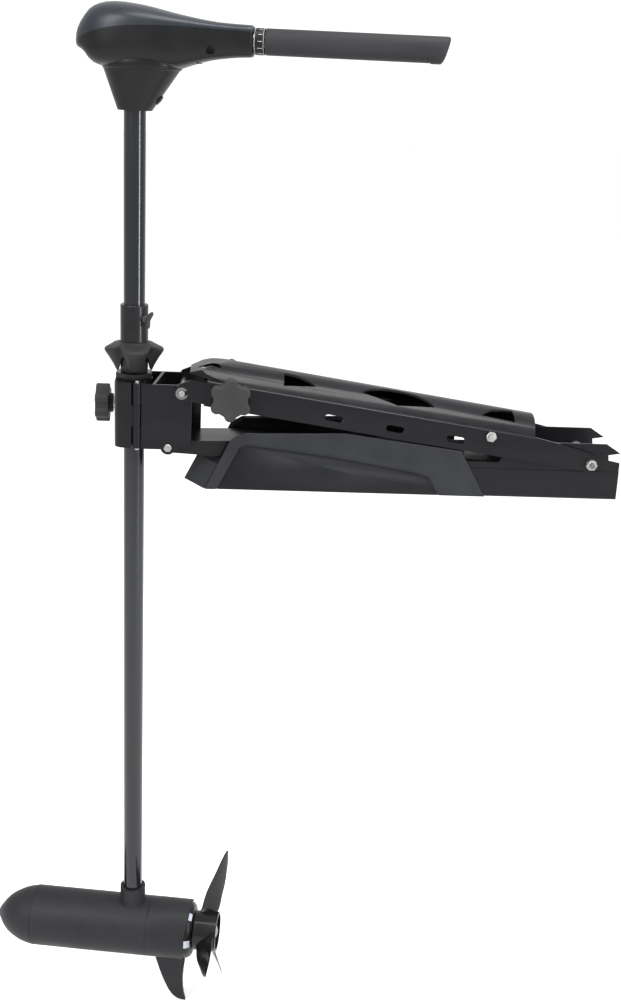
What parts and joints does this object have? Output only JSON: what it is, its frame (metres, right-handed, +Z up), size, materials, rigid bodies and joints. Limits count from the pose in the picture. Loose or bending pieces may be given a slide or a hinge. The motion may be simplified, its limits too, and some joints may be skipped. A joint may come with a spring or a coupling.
{
  "type": "trolling motor",
  "caption": "Hand-steered bow-mount trolling motor: twist-grip head on a long shaft, finned lower unit with propeller, folding deck mount.",
  "frame": {"origin": "centre of the four deck bolts on the underside of the base channel", "axes": "+X aft along the mount, away from the shaft; +Y to port; +Z up along the shaft"},
  "size_m": [0.8879, 0.2103, 1.4977],
  "materials": {
    "black_anodised": "satin",
    "charcoal_plastic": "matte",
    "stainless": "brushed",
    "spacer_nylon": "matte",
    "shaft_composite": "semi-gloss",
    "head_blue_grey": "satin",
    "head_black": "matte",
    "grip_rubber": "matte",
    "unit_paint": "satin",
    "prop_plastic": "gloss",
    "core_steel": "plain",
    "copper_and_carbon": "plain"
  },
  "bodies": {
    "base": {"base_channel": "black_anodised", "side_cover_near": "charcoal_plastic", "side_cover_far": "charcoal_plastic", "front_ramp": "black_anodised", "rear_pivot_bolts": "stainless", "rear_pivot_nuts": "stainless", "lower_pivot_bracket": "black_anodised", "lower_pivot_pin": "stainless"},
    "upper_arm": {"arm_plate_near": "black_anodised", "arm_plate_far": "black_anodised", "arm_insert": "black_anodised", "arm_cover": "black_anodised", "cross_bolt": "stainless", "cross_spacer": "spacer_nylon", "cross_nut": "stainless", "front_pivot_pin": "stainless", "pin_clips": "stainless", "clamp_nuts": "stainless"},
    "arm_knob_near": {"arm_knob_near": "charcoal_plastic", "arm_knob_stud_near": "stainless"},
    "arm_knob_far": {"arm_knob_far": "charcoal_plastic", "arm_knob_stud_far": "stainless"},
    "lower_arm": {"lower_arm": "black_anodised"},
    "bracket": {"hinge_bracket": "black_anodised", "lower_link_bolts": "stainless", "door_hinge_pin": "stainless", "shaft_bushing": "charcoal_plastic"},
    "door": {"bracket_door": "black_anodised"},
    "door_knob": {"door_knob": "charcoal_plastic", "door_knob_bolt": "stainless"},
    "steering_nut": {"steering_nut": "charcoal_plastic"},
    "depth_collar": {"depth_collar": "charcoal_plastic"},
    "wing_screw": {"wing_screw": "stainless"},
    "motor": {"shaft_tube": "shaft_composite", "head_cone": "head_black", "head_housing": "head_black", "head_cover": "head_blue_grey", "head_screws": "stainless", "speed_switch": "spacer_nylon", "cable_gland": "head_black", "unit_body": "unit_paint", "unit_nose": "unit_paint", "unit_rear_bell": "unit_paint", "skeg": "unit_paint", "magnets": "core_steel", "brush_plate": "spacer_nylon", "brushes": "copper_and_carbon", "bearings": "stainless", "shaft_seal": "grip_rubber", "through_bolts": "stainless", "front_end_plate": "unit_paint"},
    "throttle": {"speed_dial": "head_black", "twist_tube": "stainless"},
    "grip": {"grip": "grip_rubber"},
    "propeller": {"armature": "core_steel", "commutator": "copper_and_carbon", "prop_shaft": "stainless", "drive_pin": "stainless", "propeller": "prop_plastic", "prop_nut": "stainless"}
  },
  "joints": [
    {"name": "stow", "type": "hinge", "parent": "base", "child": "upper_arm", "pos_m": [0.2422, 0, 0.0517], "axis": [0, 1, 0], "range_deg": [0, 35]},
    {"name": "lower_arm_swing", "type": "hinge", "parent": "base", "child": "lower_arm", "pos_m": [0.194, 0, 0.03], "axis": [0, 1, 0], "range_deg": [0, 37.4]},
    {"name": "bracket_tilt", "type": "hinge", "parent": "upper_arm", "child": "bracket", "pos_m": [-0.3232, 0, 0.1329], "axis": [0, 1, 0], "range_deg": [-16.6, 0]},
    {"name": "arm_knob_near_turn", "type": "hinge", "parent": "upper_arm", "child": "arm_knob_near", "pos_m": [-0.25781, -0.058, 0.12957], "axis": [0, -1, 0], "range_deg": [-180, 180]},
    {"name": "arm_knob_far_turn", "type": "hinge", "parent": "upper_arm", "child": "arm_knob_far", "pos_m": [-0.25781, 0.058, 0.12957], "axis": [0, 1, 0], "range_deg": [-180, 180]},
    {"name": "door_swing", "type": "hinge", "parent": "bracket", "child": "door", "pos_m": [-0.3834, -0.0345, 0.098], "axis": [0, 0, 1], "range_deg": [0, 95]},
    {"name": "door_knob_turn", "type": "hinge", "parent": "door", "child": "door_knob", "pos_m": [-0.433, 0.032, 0.098], "axis": [-1, 0, 0], "range_deg": [-180, 180]},
    {"name": "steering_tension", "type": "hinge", "parent": "bracket", "child": "steering_nut", "pos_m": [-0.39, 0, 0.17], "axis": [0, 0, 1], "range_deg": [-45, 45]},
    {"name": "steer", "type": "hinge", "parent": "bracket", "child": "depth_collar", "pos_m": [-0.39, 0, 0.22], "axis": [0, 0, 1], "continuous": true},
    {"name": "wing_screw_turn", "type": "hinge", "parent": "depth_collar", "child": "wing_screw", "pos_m": [-0.37085, -0.01607, 0.225], "axis": [0.766, -0.6428, 0], "range_deg": [-180, 180]},
    {"name": "depth", "type": "slide", "parent": "depth_collar", "child": "motor", "axis": [0, 0, -1], "range_m": [-0.47, 0.245]},
    {"name": "throttle_twist", "type": "hinge", "parent": "motor", "child": "throttle", "pos_m": [-0.39, 0, 0.5812], "axis": [0.9895, -0.1444, 0], "range_deg": [-80, 120]},
    {"name": "grip_slide", "type": "slide", "parent": "throttle", "child": "grip", "axis": [0.9895, -0.1444, 0], "range_m": [0, 0.15]},
    {"name": "prop_spin", "type": "hinge", "parent": "motor", "child": "propeller", "pos_m": [-0.39, 0, -0.742], "axis": [0.9895, -0.1444, 0], "continuous": true}
  ],
  "couplings": [
    {"joint": "bracket_tilt", "follows": "stow", "ratio": -0.4717},
    {"joint": "lower_arm_swing", "follows": "stow", "ratio": 1.0666}
  ]
}
